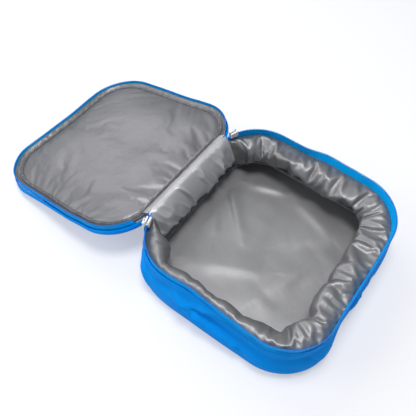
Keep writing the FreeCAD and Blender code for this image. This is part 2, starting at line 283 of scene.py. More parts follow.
def cloth_grid(name, cols, rows, place, size, material, closed=False, flip=False):
    """A flat grid, as cut, carried point by point to where it is sewn; UV is in metres of cloth."""
    bm = bmesh.new()
    uv = bm.loops.layers.uv.new("UVMap")
    bmesh.ops.create_grid(bm, x_segments=cols, y_segments=rows, size=0.5)
    for face in bm.faces:
        for loop in face.loops:
            loop[uv].uv = ((loop.vert.co.x + 0.5) * size[0], (loop.vert.co.y + 0.5) * size[1])
    for v in bm.verts:
        v.co = place(v.co.x + 0.5, v.co.y + 0.5)
    if closed:
        bmesh.ops.remove_doubles(bm, verts=[v for v in bm.verts if v.is_boundary], dist=1e-6)
    if flip:
        bmesh.ops.reverse_faces(bm, faces=bm.faces)
    for face in bm.faces:
        face.smooth = True
    return set_down(name, bm, material)


def thicken(piece, thickness, offset=-1.0):
    """Gives a sheet its thickness: inward from the sheet, or to both sides where offset is 0."""
    layer = piece.modifiers.new("thickness", "SOLIDIFY")
    layer.thickness = thickness * MM
    layer.offset = offset
    layer.use_even_offset = False


def woven(name, dark, light, pitch, rough, ridge):
    """Plain-woven cloth on the piece's own UV: two crossing yarns, slubs and a little uneven dye."""
    made, w = finish(name)
    flat = w.node("ShaderNodeTexCoord", None, None, "UV")
    u = w.node("ShaderNodeSeparateXYZ", None, {0: flat}, 0)
    v = w.node("ShaderNodeSeparateXYZ", None, {0: flat}, 1)
    k = 2 * math.pi / (pitch * MM)
    weave = w.sum("SINE", u * k) * w.sum("SINE", v * k)
    spot = w.node("ShaderNodeTexCoord", None, None, "Object")
    dye = w.node("ShaderNodeTexNoise", None, {"Vector": spot, "Scale": 28.0, "Detail": 5.0, "Roughness": 0.6})
    slub = w.node("ShaderNodeTexNoise", None, {"Vector": spot, "Scale": 900.0, "Detail": 2.0})
    tone = dye * 0.55 + slub * 0.25 + weave * 0.12 + 0.10
    colour = w.node("ShaderNodeValToRGB", {"stops": [(0.25, dark), (0.75, light)]}, {"Fac": tone})
    relief = w.node("ShaderNodeBump", None, {
        "Height": weave * 0.6 + slub * 0.4, "Strength": ridge, "Distance": 0.0002})
    skin = w.node("ShaderNodeBsdfPrincipled", None, {
        "Base Color": colour, "Roughness": dye * 0.15 + (rough - 0.07), "Normal": relief,
        "Specular IOR Level": 0.06})
    w.node("ShaderNodeOutputMaterial", None, {"Surface": skin})
    return made


blue_cloth = woven("blue_polyester", (0.001, 0.235, 0.740), (0.001, 0.325, 0.960), 0.7, 0.72, 0.5)
CLOTH, CLOTH_FOOT = 0.9, 0.8
gusset_run = ROUND - 2 * SEAM_START


def gusset_place(u, v):
    return wall(SEAM_START + u * gusset_run, CLOTH_FOOT + v * (HEM_TOP - CLOTH_FOOT))


gusset = cloth_grid("gusset_cloth", 400, 26, gusset_place, (gusset_run * MM, HEM_TOP * MM), blue_cloth,
                    flip=True)
thicken(gusset, CLOTH)
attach(gusset, "body")
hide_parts("side_gusset")


def run_frame(run, inset, z):
    """Axes along the outline, out of it and up, at a point of it, as a placing matrix."""
    here, ahead = at(run, inset, z), at(run + 0.5, inset, z)
    t = (ahead - here).normalized()
    n = Vector((0, 0, 1)).cross(t).normalized() * -1
    u = t.cross(n) * -1
    made = Matrix((t, n, u)).transposed().to_4x4()
    made.translation = here
    return made


def row_of(name, spots, size, material):
    """One small rounded bead at each placing matrix, all in one piece: stitches and coil turns."""
    bm = bmesh.new()
    shape = Matrix.Diagonal((size[0] * MM, size[1] * MM, size[2] * MM, 1))
    batch = 40
    for first in range(0, len(spots), batch):
        part = bmesh.new()
        for spot in spots[first:first + batch]:
            bmesh.ops.create_uvsphere(part, u_segments=6, v_segments=4, radius=1.0, matrix=spot @ shape)
        mesh = bpy.data.meshes.new("part")
        part.to_mesh(mesh)
        part.free()
        bm.from_mesh(mesh)
        bpy.data.meshes.remove(mesh)
    bmesh.ops.recalc_face_normals(bm, faces=bm.faces)
    for face in bm.faces:
        face.smooth = True
    return set_down(name, bm, material)


def grained(name, pattern, stops, rough, relief, skin, kind="ShaderNodeTexNoise"):
    """A plain finish whose fine grain stirs its colour, its gloss and its surface a little."""
    made, w = finish(name)
    spot = w.node("ShaderNodeTexCoord", None, None, "Object")
    grain = w.node(kind, None, {"Vector": spot, **pattern})
    colour = w.node("ShaderNodeValToRGB", {"stops": stops}, {"Fac": grain})
    strength, distance = relief
    bump = w.node("ShaderNodeBump", None, {"Height": grain, "Strength": strength, "Distance": distance})
    gain, least = rough
    w.node("ShaderNodeOutputMaterial", None, {"Surface": w.node("ShaderNodeBsdfPrincipled", None, {
        "Base Color": colour, "Roughness": grain * gain + least, "Normal": bump, **skin})})
    return made


thread_blue = grained("blue_thread", {"Scale": 1600.0, "Detail": 2.0},
                      [(0.3, (0.002, 0.13, 0.50)), (0.7, (0.005, 0.22, 0.80))],
                      (0.2, 0.45), (0.4, 0.0001), {"Specular IOR Level": 0.4})
STITCH, STITCH_PITCH, HEM_STITCH_Z = (1.2, 0.28, 0.28), 3.2, 54.2


def hem_spots(z, start):
    """Places of the stitches along the hem, on the face of the cloth."""
    spots, run = [], start
    while run < ROUND - start:
        face = wall(run, z)
        outward = (face - at(run, 60, z)).normalized()
        spot = run_frame(run, 0, z)
        spot.translation = face + outward * 0.0003
        spots.append(spot)
        run += STITCH_PITCH
    return spots


hem_stitch = row_of("hem_stitches", hem_spots(HEM_STITCH_Z, SEAM_START + 3), STITCH, thread_blue)
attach(hem_stitch, "body")

# Base panel and back panel: the same blue cloth, the base a rounded flat piece
# the bag stands on, the back a plain panel up to the hinge, both seamed inside.
BASE_CLOTH, BASE_SEAM = 1.0, 2.2
bm = bmesh.new()
uv = bm.loops.layers.uv.new("UVMap")
ring = bmesh.ops.create_circle(bm, cap_ends=True, cap_tris=False, segments=240, radius=1.0)["verts"]
for i, v in enumerate(ring):
    v.co = at(ROUND * i / len(ring), BASE_SEAM, 0.0)
for face in bm.faces[:]:
    bmesh.ops.inset_region(bm, faces=[face], thickness=0.004, depth=0.0, use_even_offset=True)
bmesh.ops.recalc_face_normals(bm, faces=bm.faces)
if bm.faces[0].normal.z > 0:
    bmesh.ops.reverse_faces(bm, faces=bm.faces)
for face in bm.faces:
    for loop in face.loops:
        loop[uv].uv = (loop.vert.co.x, loop.vert.co.y)
base = set_down("base_cloth", bm, blue_cloth)
thicken(base, BASE_CLOTH)
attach(base, "body")
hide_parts("bottom_panel")

BACK_RUN, BACK_HIGH = 76.8, 64.0


def back_wall(u, v):
    run, z = BACK_RUN - u * 2 * BACK_RUN, CLOTH_FOOT + v * BACK_HIGH
    p = edge(run)[0]
    sway = (1.2 + 0.8 * noise.noise(Vector((p.x * 0.03, 7.0, z * 0.05)))) * math.sin(math.pi * v)
    foot = max(0, 1 - z / 5)
    return at(run, FOOT_TUCK * foot * foot - sway, z)


back_cloth = cloth_grid("back_cloth", 80, 26, back_wall, (2 * BACK_RUN * MM, BACK_HIGH * MM), blue_cloth)
thicken(back_cloth, CLOTH)
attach(back_cloth, "body")
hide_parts("back_panel")

# Foam: white closed-cell sheets that stand between cloth and lining, cut to
# the walls, the base and the lid, and held there by the seams round them.
foam_finish = grained("white_foam", {"Scale": 700.0}, [(0.0, (0.70, 0.70, 0.67)), (0.6, (0.88, 0.88, 0.86))],
                      (0.2, 0.75), (0.5, 0.0003), {}, kind="ShaderNodeTexVoronoi")
for name in ("base_foam", "wall_foam", "back_foam", "lid_foam"):
    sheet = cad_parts[name]
    sheet.data.materials.clear()
    sheet.data.materials.append(foam_finish)

# Floor lining: silver-grey film laid over the base foam, heat-sealed and sewn
# into the seam round the foot, loose enough to lie in broad soft folds.
def film(name, crinkle, metal=0.6, dark=(0.185, 0.185, 0.192), light=(0.230, 0.230, 0.238)):
    """Metal-coated film: even grey, satin, with fine crinkles and faint clouding."""
    made, w = finish(name)
    spot = w.node("ShaderNodeTexCoord", None, None, "Object")
    cloud = w.node("ShaderNodeTexNoise", None, {
        "Vector": spot, "Scale": 22.0, "Detail": 4.0, "Roughness": 0.55})
    fine = w.node("ShaderNodeTexNoise", None, {"Vector": spot, "Scale": 420.0, "Detail": 3.0})
    warp = w.node("ShaderNodeTexNoise", None, {
        "Vector": spot, "Scale": 75.0, "Detail": 4.0, "Roughness": 0.5, "Distortion": 0.6})
    ridge = 1 - w.sum("ABSOLUTE", warp * 2 - 1)
    colour = w.node("ShaderNodeValToRGB", {"stops": [(0.3, dark), (0.7, light)]},
                    {"Fac": cloud * 0.8 + fine * 0.2})
    relief = w.node("ShaderNodeBump", None, {
        "Height": ridge + fine * 0.06, "Strength": crinkle, "Distance": 0.0012})
    skin = w.node("ShaderNodeBsdfPrincipled", None, {
        "Base Color": colour, "Roughness": cloud * 0.16 + 0.36, "Metallic": metal, "Normal": relief,
        "Specular IOR Level": 0.6})
    w.node("ShaderNodeOutputMaterial", None, {"Surface": skin})
    return made


def square_run(a, b):
    """Ring size and distance round the outline for a point of a square grid, so that rows follow the edge."""
    r = max(abs(a), abs(b))
    if r < 1e-9:
        return 0.0, 0.0
    if b >= r - 1e-9:
        t = -a / r if a <= 0 else 8 - a / r
    elif a <= -r + 1e-9:
        t = 2 - b / r
    elif b <= -r + 1e-9:
        t = 4 + a / r
    else:
        t = 6 + b / r
    half = END_RUN / 2 + BEND_RUN / 2
    side = SIDE_RUN + BEND_RUN
    stops = ((0, 0), (1, half), (3, half + side), (5, 3 * half + side), (7, 3 * half + 2 * side), (8, ROUND))
    for (p, x), (q, y) in zip(stops, stops[1:]):
        if t <= q:
            break
    return r, x + (y - x) * (t - p) / (q - p)


def fold_line(x, y, a, b, width, height):
    """A soft fold in a flat sheet, from a to b, sharper on one side than on the other."""
    ab = Vector(b) - Vector(a)
    ap = Vector((x, y)) - Vector(a)
    t = min(max(ap.dot(ab) / ab.length_squared, 0), 1)
    off = ap - ab * t
    side = 1 if ab.cross(ap) > 0 else -1
    spread = width * (1.0 if side > 0 else 0.45)
    return height * math.sin(math.pi * min(max(t, 0.06), 0.94)) ** 0.7 * math.exp(-(off.length / spread) ** 2)


FILM, FLOOR_SEAM, FLOOR_Z, FLOOR_LEAST = 0.4, 7.5, 7.2, 6.9
FLOOR_FOLDS = (((52, 92), (-12, 30), 9, 2.4), ((70, 70), (88, 20), 14, 2.5), ((-70, 62), (-30, -20), 22, 2.2),
               ((-60, -30), (30, -60), 26, 2.4), ((20, -20), (80, -70), 24, 2.0),
               ((84, 4), (60, -58), 16, 2.2), ((-30, 60), (10, 84), 14, 1.6))


def floor_place(u, v):
    r, run = square_run(2 * u - 1, 2 * v - 1)
    p, n = edge(run)
    p = (p - n * FLOOR_SEAM) * r
    lift = 1.6 * (1 - r ** 3)
    for a, b, width, height in FLOOR_FOLDS:
        lift += fold_line(p.x, p.y, a, b, width, height) * min(1, 4 * (1 - r))
    broad = 1.6 * noise.noise(Vector((p.x * 0.014, p.y * 0.014, 3.1)))
    small = 0.5 * noise.noise(Vector((p.x * 0.045, p.y * 0.045, 8.4)))
    lift += (broad + small) * min(1, 3 * (1 - r))
    return Vector((p.x, p.y, max(FLOOR_Z + lift, FLOOR_LEAST))) * MM


# Painted light: the floor's film is the lining film drawn a little lighter than the collar's, standing in for
# light on the floor.
floor_film_painted_light = film("floor_film_painted_light", 0.10, 0.35, (0.215, 0.215, 0.221), (0.260, 0.260, 0.267))
floor_lining = cloth_grid("floor_lining", 96, 96, floor_place, (0.237, 0.223), floor_film_painted_light)
thicken(floor_lining, FILM)
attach(floor_lining, "body")
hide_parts("base_lining")

# Wall lining: a band of the same film, cut deeper than the wall is high,
# gathered into the zip seam and slumped inward as a soft puffed collar.
LINING_HIGH, LINING_COLS, LINING_ROWS = 85.0, 350, 28
PUFF = ((0, 1.0), (80, 0.85), (115, 0.84), (165, 0.66), (230, 0.66), (290, 0.80), (340, 0.94), (370, 1.0),
        (500, 1.0), (560, 0.98), (640, 1.06), (720, 1.04), (760, 0.9), (795, 0.9), (ROUND, 1.0))
COLLAR = ((7.6, 8.3), (15.0, 13.0), (23.0, 20.0), (29.5, 26.5), (32.5, 34.5), (30.5, 45.0), (22.5, 53.5),
          (12.0, 57.0), (2.2, 54.6))
BACK_COLLAR = ((7.6, 8.3), (9.0, 13.0), (10.0, 20.0), (10.0, 28.0), (9.6, 36.0), (8.8, 44.0), (7.6, 51.0),
               (6.0, 57.0), (4.0, 62.0))
collar_film = film("collar_film", 0.30)


def along(points, t):
    """A smooth line through a few points of a section."""
    t *= len(points) - 1
    i = min(int(t), len(points) - 2)
    t -= i
    q = [Vector(points[min(max(i + k, 0), len(points) - 1)]) for k in (-1, 0, 1, 2)]
    square = 2 * q[0] - 5 * q[1] + 4 * q[2] - q[3]
    cube = 3 * q[1] - q[0] - 3 * q[2] + q[3]
    return 0.5 * (2 * q[1] + (q[2] - q[0]) * t + square * t * t + cube * t ** 3)


def collar_place(u, v):
    run = u * ROUND
    hinge_side = 1 - min(1, max(0, min(run, ROUND - run) - 62) / 36)
    q = along(COLLAR, v).lerp(along(BACK_COLLAR, v), hinge_side)
    base_line = 7.6 - 5.4 * v
    inset, z = base_line + (q.x - base_line) * ease(PUFF, run), q.y
    p = edge(run)[0]
    rough = noise.noise(Vector((p.x * 0.035, p.y * 0.035, v * 1.8))) * (4.2 - 2.6 * hinge_side)
    rough += noise.noise(Vector((p.x * 0.11, p.y * 0.11, v * 4 + 9))) * 1.6
    return at(run, inset + rough * math.sin(math.pi * v), z + 0.6 * rough * math.sin(math.pi * v))


wall_lining = cloth_grid("wall_lining_film", LINING_COLS, LINING_ROWS, collar_place,
                         (ROUND * MM, LINING_HIGH * MM), collar_film, closed=True)


def seam_key(p):
    """A point to a hundredth of a millimetre, so that a seam's points are found again in the mesh."""
    return tuple(round(c, 5) for c in p)


def slacken(piece, seams, grow, push, frames):
    """Lets a film longer than its place buckle between its seams, and keeps the buckled shape as its mesh."""
    # Cloth settings are steadiest at about a metre, so the film is worked at ten times its size.
    swollen, stretch = 10, 18.0
    piece.data.transform(Matrix.Scale(swollen, 4))
    pins = piece.vertex_groups.new(name="seams")
    held = [v.index for v in piece.data.vertices if seam_key(v.co * (1 / swollen)) in seams]
    pins.add(held, 1.0, "REPLACE")
    layer = piece.modifiers.new("slack", "CLOTH")
    c = layer.settings
    c.quality = 7
    c.mass = 0.12
    c.air_damping = 3.0
    c.tension_stiffness = c.compression_stiffness = stretch
    c.shear_stiffness = stretch * 0.4
    c.tension_damping = c.compression_damping = 8.0
    c.shear_damping = 6.0
    c.bending_stiffness = 0.45
    c.bending_damping = 0.6
    c.shrink_min = -grow
    c.vertex_group_mass = "seams"
    c.pin_stiffness = 1.0
    c.use_pressure = True
    c.uniform_pressure_force = push
    c.effector_weights.gravity = 0.0
    layer.collision_settings.use_collision = False
    layer.collision_settings.use_self_collision = False
    layer.point_cache.frame_start = 1
    layer.point_cache.frame_end = frames
    for step in range(1, frames + 1):
        scene.frame_set(step)
    settled = piece.evaluated_get(bpy.context.evaluated_depsgraph_get())
    after = bpy.data.meshes.new_from_object(settled)
    before = piece.data
    piece.modifiers.remove(layer)
    piece.vertex_groups.remove(pins)
    piece.data = after
    after.name = before.name
    bpy.data.meshes.remove(before)
    after.transform(Matrix.Scale(1 / swollen, 4))
    scene.frame_set(1)


def smooth_up(piece):
    """Rounds the buckled film between its points."""
    layer = piece.modifiers.new("smooth", "SUBSURF")
    layer.levels = layer.render_levels = 1


top_and_foot = {seam_key(collar_place(i / LINING_COLS, end)) for i in range(LINING_COLS) for end in (0, 1)}
hung = [v.co.copy() for v in wall_lining.data.vertices]
slacken(wall_lining, top_and_foot, grow=0.095, push=0.5, frames=30)


def inset_of(p):
    """How far inside the bag's outline a point lies, and the way in."""
    q = Vector((abs(p.x) / MM - WIDTH / 2 + CORNER, abs(p.y) / MM - DEPTH / 2 + CORNER))
    if q.x > 0 and q.y > 0:
        d, n = q.length - CORNER, q.normalized()
    elif q.x > q.y:
        d, n = q.x - CORNER, Vector((1, 0))
    else:
        d, n = q.y - CORNER, Vector((0, 1))
    return -d, Vector((-math.copysign(n.x, p.x), -math.copysign(n.y, p.y), 0))


# On the left the film hangs nearly as it was sewn. It stays off the foam, and behind the hinge's film.
BEHIND = ((0, 10), (10, 9.5), (17, 7.6), (23, 9.5), (31, 13.5), (40, 13.5), (51, 8.5), (57, 6.0), (62, 3.2),
          (ROUND, 2))
FOAM_FACE, FOAM_TOP, FOLD_FRONT, FOLD_HALF = 7.4, 0.050, 0.085, 0.082
for v, was in zip(wall_lining.data.vertices, hung):
    on_left = min(1, max(0, -was.x - 0.072) / 0.016) * min(1, max(0, was.y + 0.085) / 0.03)
    v.co = v.co.lerp(was, 0.75 * on_left)
    deep, inward = inset_of(v.co)
    if v.co.z < FOAM_TOP and deep < FOAM_FACE:
        v.co += inward * (FOAM_FACE - deep) * MM
    over = deep - ease(BEHIND, v.co.z / MM)
    if over > 0 and v.co.y > FOLD_FRONT and abs(v.co.x) < FOLD_HALF:
        v.co -= inward * over * min(1, (FOLD_HALF - abs(v.co.x)) / 0.008) * MM
smooth_up(wall_lining)
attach(wall_lining, "body")
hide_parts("wall_lining")

# Foot binding: grey tape folded over the raw edges where floor and wall lining
# meet, sewn through, and left standing as a narrow double ridge.
binding_cloth = grained("grey_binding_tape", {"Scale": 130.0, "Detail": 3.0},
                        [(0.3, (0.17, 0.17, 0.178)), (0.7, (0.27, 0.27, 0.282))],
                        (0.2, 0.26), (0.25, 0.0006), {"Metallic": 0.4, "Specular IOR Level": 0.6})
FOOT_SEAM, FOOT_Z, FOOT_WIDE, FOOT_HIGH = 12.0, 7.3, 4.4, 2.6


def ridge_section(t, wide, high, groove=0.62):
    """Half-round section with the seam's groove along its back: offset across and height."""
    round_back = math.sin(math.pi * t) ** 0.5
    return (t - 0.5) * wide, high * (round_back - groove * math.exp(-((t - 0.5) / 0.12) ** 2))


def foot_binding_place(u, v):
    run = u * ROUND
    x, h = ridge_section(v, FOOT_WIDE, FOOT_HIGH)
    p = edge(run)[0]
    pucker = 0.35 * noise.noise(Vector((p.x * 0.25, p.y * 0.25, 1.0)))
    return at(run, FOOT_SEAM + x + pucker, FOOT_Z + h * (1 + pucker))


foot_binding = cloth_grid("foot_binding", 436, 10, foot_binding_place, (ROUND * MM, 0.008), binding_cloth,
                          closed=True, flip=True)
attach(foot_binding, "body")
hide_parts("base_seam_binding")

# Body zip: knitted tape of its own blue, drawn lighter than the cloth as painted light on the tape,
# sewn inside the hem, with a nylon coil along its top edge, two rows of stitches, and a stop at each end.
zip_tape_painted_lighter = woven("blue_zip_tape_painted_lighter", (0.001, 0.370, 0.920), (0.001, 0.450, 0.990), 0.9, 0.66, 0.6)
TAPE_START, TAPE, TAPE_HIGH, TAPE_INSET = 80.0, 0.7, 10.8, 1.55
tape_run = ROUND - 2 * TAPE_START


def tape_place(u, v):
    run = TAPE_START + u * tape_run
    return at(run, TAPE_INSET + 0.12 * math.sin(run * 0.21), TAPE_FOOT + v * TAPE_HIGH)


body_tape = cloth_grid("body_zip_tape_cloth", 360, 8, tape_place, (tape_run * MM, TAPE_HIGH * MM), zip_tape_painted_lighter,
                       flip=True)
thicken(body_tape, TAPE, 0.0)
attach(body_tape, "body")
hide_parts("body_zip_tape")

coil_nylon = grained("blue_coil_nylon", {"Scale": 500.0, "Detail": 2.0},
                     [(0.3, (0.002, 0.17, 0.62)), (0.7, (0.004, 0.25, 0.82))],
                     (0.15, 0.32), (0.15, 0.0001), {"Specular IOR Level": 0.5})
COIL, COIL_PITCH, BODY_COIL_Z = (0.62, 1.05, 0.95), 1.5, 64.35


def spaced(start, pitch, last=0):
    """Distances round the outline, a pitch apart, from a start to the same place at the zip's other end."""
    return [start + pitch * i for i in range(int((ROUND - 2 * start) / pitch) + last)]


body_coil = row_of("body_zip_coil", [run_frame(run, TAPE_INSET, BODY_COIL_Z)
                                     for run in spaced(TAPE_START + 1, COIL_PITCH, 1)], COIL, coil_nylon)
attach(body_coil, "body")
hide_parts("body_zip_chain")

stitch_rows = ((1.05, 59.0), (2.05, 58.6))
tape_stitch = row_of("body_tape_stitches", [run_frame(run, inset, z)
                                            for run in spaced(TAPE_START + 3, STITCH_PITCH)
                                            for inset, z in stitch_rows], STITCH, thread_blue)
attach(tape_stitch, "body")

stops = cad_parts["zip_end_stops"]
stops.data.materials.clear()
stops.data.materials.append(coil_nylon)

# Hinge: a strip of the blue cloth outside and a fold of the film inside, sewn
# to the back panel and to the lid. Each is made as a body half and a lid half
# that meet on the line the lid turns about.
HINGE_OUT, HINGE_HALF, LID_DEEP, STRIP = 3.0, 77.0, 16.0, 0.7
HINGE_Y = DEPTH / 2 + HINGE_OUT
SLOPE = math.asin(RIM / math.hypot(DEPTH + HINGE_OUT, LID_DEEP)) - math.atan2(LID_DEEP, DEPTH + HINGE_OUT)


def opened(p):
    """A point of the closed lid, in metres, carried to where the open lid lies."""
    a = -(math.pi + SLOPE)
    dy, dz = p.y - HINGE_Y * MM, p.z - RIM * MM
    y = HINGE_Y * MM + dy * math.cos(a) - dz * math.sin(a)
    z = RIM * MM + dy * math.sin(a) + dz * math.cos(a)
    return Vector((p.x, y, z))


BODY_STRIP = ((118.6, 57.0), (118.8, 61.4), (121.0, 65.4))
LID_STRIP = ((121.0, 65.4), (121.8, 62.0), (121.8, 57.8))
BODY_FOLD = ((110.0, 17.0), (105.5, 23.0), (101.0, 31.0), (101.0, 40.5), (106.5, 52.5), (115.2, 64.2),
             (121.0, 66.0))
LID_FOLD = ((121.0, 66.0), (124.8, 63.6), (127.8, 60.8), (130.4, 57.8))


def strip_place(line, u, v):
    """A point of the outer strip, straight across the hinge along its section line."""
    q = along(line, v)
    return Vector(((u - 0.5) * 2 * HINGE_HALF, q.x, q.y)) * MM


def back_fold_place(u, v):
    q = along(BODY_FOLD, v)
    x = (u - 0.5) * 2 * HINGE_HALF
    drift = x + 30 * v
    pleat = 1 - abs(math.sin(math.pi * (drift + 16 * noise.noise(Vector((x * 0.02, v, 1.0)))) / 27))
    lift = 16 * (0.20 - abs(noise.noise(Vector((drift * 0.028, v * 1.2, 4.0)))))
    lift += 9 * (0.16 - abs(noise.noise(Vector((drift * 0.07 - 3, v * 2.4, 9.0)))))
    lift += 4.6 * pleat ** 1.6 * (0.55 + noise.noise(Vector((x * 0.03, 5.0, 2.0))))
    lift *= min(1, max(0, 0.92 - v) / 0.24) * min(1, 0.35 + 3 * v)
    tuck = max(0, abs(u - 0.5) - 0.41) / 0.09
    lift = max(lift, 0) - 9 * tuck * tuck * (1 - v) ** 0.5
    return Vector((x, q.x - lift * (1 - 0.4 * v), q.y + lift * 0.7 * v)) * MM


def lid_fold_place(u, v):
    q = along(LID_FOLD, v)
    x = (u - 0.5) * 2 * HINGE_HALF
    lift = 0.5 + 3.0 * (0.40 - abs(noise.noise(Vector((x * 0.06, v * 1.3, 4.0)))))
    return Vector((x, q.x, q.y + lift * max(0, v - 0.35))) * MM


# Painted light: the hinge's film is the lining film drawn about twice as light as the collar's, standing in
# for light on the hinge sheet.
hinge_film_painted_light = film("hinge_film_painted_light", 0.16, 0.40, (0.40, 0.40, 0.412), (0.50, 0.50, 0.512))
hinge_long = 2 * HINGE_HALF * MM
for body, line, inner_place, rows in (("body", BODY_STRIP, back_fold_place, 60),
                                      ("lid", LID_STRIP, lid_fold_place, 12)):
    outer = cloth_grid("hinge_cloth_" + body, 90, 14, lambda u, v: strip_place(line, u, v),
                       (hinge_long, 0.009), blue_cloth, flip=True)
    thicken(outer, STRIP, 0.0)
    inner = cloth_grid("hinge_film_" + body, 180, rows, inner_place, (hinge_long, 0.0011 * rows), hinge_film_painted_light)
    thicken(inner, FILM)
    for piece, slot in ((outer, "blue_fabric"), (inner, "silver_film")):
        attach(piece, body)
    if body == "body":
        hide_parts("hinge_strip")
        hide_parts("hinge_lining")

# Lid shell: a rounded top panel of blue cloth seamed to a shallow gusset and,
# at the back, a band down to the hinge. Open, it lies face down on the table.
LID_TOP = RIM + LID_DEEP
LID_OUT = ((0, 0), (165, 0), (188, 1), (212, 0), (248, -2), (288, -3), (325, -1.5), (365, 1), (410, -0.5),
           (450, -1.5), (495, 0.5), (560, 1), (620, 0.5), (676, -1), (704, 0), (ROUND, 0))
LID_WALL_FOOT, LID_WALL_HIGH, BAND_FOOT, BAND_HIGH = 74.5, 7.0, 67.8, 7.4


def lid_at(run, inset, z):
    """A point of the lid as it lies open, from its place on the closed lid."""
    p, n = edge(run)
    p = p + n * (ease(LID_OUT, run) * min(1, max(0, (84 - z) / 6)) - inset)
    return opened(Vector((p.x, p.y, z)) * MM)


def lid_top_place(u, v):
    r, run = square_run(2 * u - 1, 2 * v - 1)
    p, n = edge(run)
    p = (p - n * 0.6) * r
    sag = -0.7 * r ** 6 + 0.35 * noise.noise(Vector((p.x * 0.02, p.y * 0.02, 5.0))) * (1 - r)
    return opened(Vector((p.x, p.y, LID_TOP + min(sag, 0.1))) * MM)


lid_cloth = cloth_grid("lid_cloth", 80, 80, lid_top_place, (WIDTH * MM, DEPTH * MM), blue_cloth)
thicken(lid_cloth, CLOTH)
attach(lid_cloth, "lid")
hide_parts("lid_panel")


def lid_wall_place(u, v):
    run = u * ROUND
    p = edge(run)[0]
    shy = 0.6 * v ** 4 - 0.5 * math.sin(math.pi * v)
    shy -= 0.25 * noise.noise(Vector((p.x * 0.05, p.y * 0.05, 2.0)))
    return lid_at(run, shy, LID_WALL_FOOT + v * LID_WALL_HIGH)


lid_wall = cloth_grid("lid_gusset_cloth", 400, 8, lid_wall_place, (ROUND * MM, LID_WALL_HIGH * MM),
                      blue_cloth, closed=True, flip=True)
thicken(lid_wall, CLOTH)
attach(lid_wall, "lid")
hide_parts("lid_gusset")


def band_place(u, v):
    run = BACK_RUN - u * 2 * BACK_RUN
    return lid_at(run, -0.2 * math.sin(math.pi * v), BAND_FOOT + v * BAND_HIGH)


lid_band = cloth_grid("lid_hinge_band_cloth", 80, 8, band_place, (2 * BACK_RUN * MM, BAND_HIGH * MM),
                      blue_cloth)
thicken(lid_band, CLOTH)
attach(lid_band, "lid")
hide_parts("lid_hinge_band")

# Carry handle: a length of blue ribbed webbing arched across the lid's outer
# face, its ends sewn down flat with crossed boxes of stitches.
HANDLE_HALF, HANDLE_WIDE, HANDLE_FOOT, HANDLE_RISE, WEB = 52.0, 25.0, 26.0, 14.0, 1.6
BOX_STITCH, BOX_PITCH = (1.2, 0.3, 0.3), 3
web_cloth, w = finish("blue_webbing")
flat = w.node("ShaderNodeTexCoord", None, None, "UV")
u = w.node("ShaderNodeSeparateXYZ", None, {0: flat}, 0)
v = w.node("ShaderNodeSeparateXYZ", None, {0: flat}, 1)
rib = w.sum("SINE", u * (2 * math.pi / 0.0016)) * 0.5 + 0.5
pick = w.sum("SINE", v * (2 * math.pi / 0.0021)) * 0.5 + 0.5
spot = w.node("ShaderNodeTexCoord", None, None, "Object")
fray = w.node("ShaderNodeTexNoise", None, {"Vector": spot, "Scale": 700.0, "Detail": 3.0})
tone = w.node("ShaderNodeValToRGB", {"stops": [(0.1, (0.001, 0.085, 0.36)), (0.8, (0.001, 0.165, 0.62))]},
              {"Fac": rib * 0.35 + pick * 0.3 + fray * 0.35})
w.node("ShaderNodeOutputMaterial", None, {"Surface": w.node("ShaderNodeBsdfPrincipled", None, {
    "Base Color": tone, "Roughness": fray * 0.2 + 0.6, "Specular IOR Level": 0.06,
    "Normal": w.node("ShaderNodeBump", None, {"Height": rib * pick, "Strength": 0.7, "Distance": 0.0004})})})


def strap_line(t):
    """The strap's height above the lid along its length, t from -1 to 1 over both feet."""
    x = t * (HANDLE_HALF + HANDLE_FOOT)
    far = abs(x)
    if far >= HANDLE_HALF:
        return x, 0.0
    s = 1 - far / HANDLE_HALF
    return x, HANDLE_RISE * min(1, (1 - math.cos(math.pi * min(1, s * 2.1))) / 2)


def strap_place(u, v):
    x, h = strap_line(2 * u - 1)
    z = LID_TOP + 1.0 + h - 0.4 * abs(2 * v - 1) ** 3
    return opened(Vector((x, (v - 0.5) * HANDLE_WIDE, z)) * MM)


strap_long = 2 * (HANDLE_HALF + HANDLE_FOOT)
handle = cloth_grid("handle_webbing", 120, 10, strap_place, (strap_long * MM, HANDLE_WIDE * MM), web_cloth)
thicken(handle, WEB, 0.0)
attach(handle, "lid")
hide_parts("carry_handle")
box_lines = []
for side in (-1, 1):
    a, b = HANDLE_HALF + 3, HANDLE_HALF + HANDLE_FOOT - 3
    corners = [(a, -10), (b, -10), (b, 10), (a, 10), (a, -10), (b, 10), None, (a, 10), (b, -10)]
    for p, q in zip(corners, corners[1:]):
        if p and q:
            p, q = Vector((side * p[0], p[1])), Vector((side * q[0], q[1]))
            count = int((q - p).length / BOX_PITCH)
            d = (q - p).normalized()
            for i in range(count):
                m = p.lerp(q, (i + 0.5) / count)
                turn = Matrix.Rotation(math.atan2(d.y, d.x), 4, "Z")
                turn.translation = Vector((m.x, m.y, LID_TOP + 1.75)) * MM
                box_lines.append(turn)
swing = Matrix.Rotation(-(math.pi + SLOPE), 4, "X")
swing.translation = opened(Vector((0, 0, 0)))
handle_stitch = row_of("handle_stitches", [swing @ m for m in box_lines], BOX_STITCH, thread_blue)
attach(handle_stitch, "lid")

# Lid lining: one panel of the film over the lid foam, a little larger than its
# place, so it crowns in the middle and puckers where the edge is sewn down.
LID_SEAM, LID_FLOOR, LID_CELLS = 10.0, 74.4, 92
LID_FOLDS = (((-72, 104), (-58, 52), 9, 1.6), ((-36, 108), (-16, 58), 11, 1.8), ((8, 108), (2, 64), 9, 1.4),
             ((48, 106), (30, 66), 10, 1.4), ((-112, 44), (-62, 26), 10, 1.5),
             ((-112, -6), (-70, -4), 9, 1.2), ((-104, -64), (-66, -34), 9, 1.5),
             ((92, 92), (56, 52), 12, 1.4))


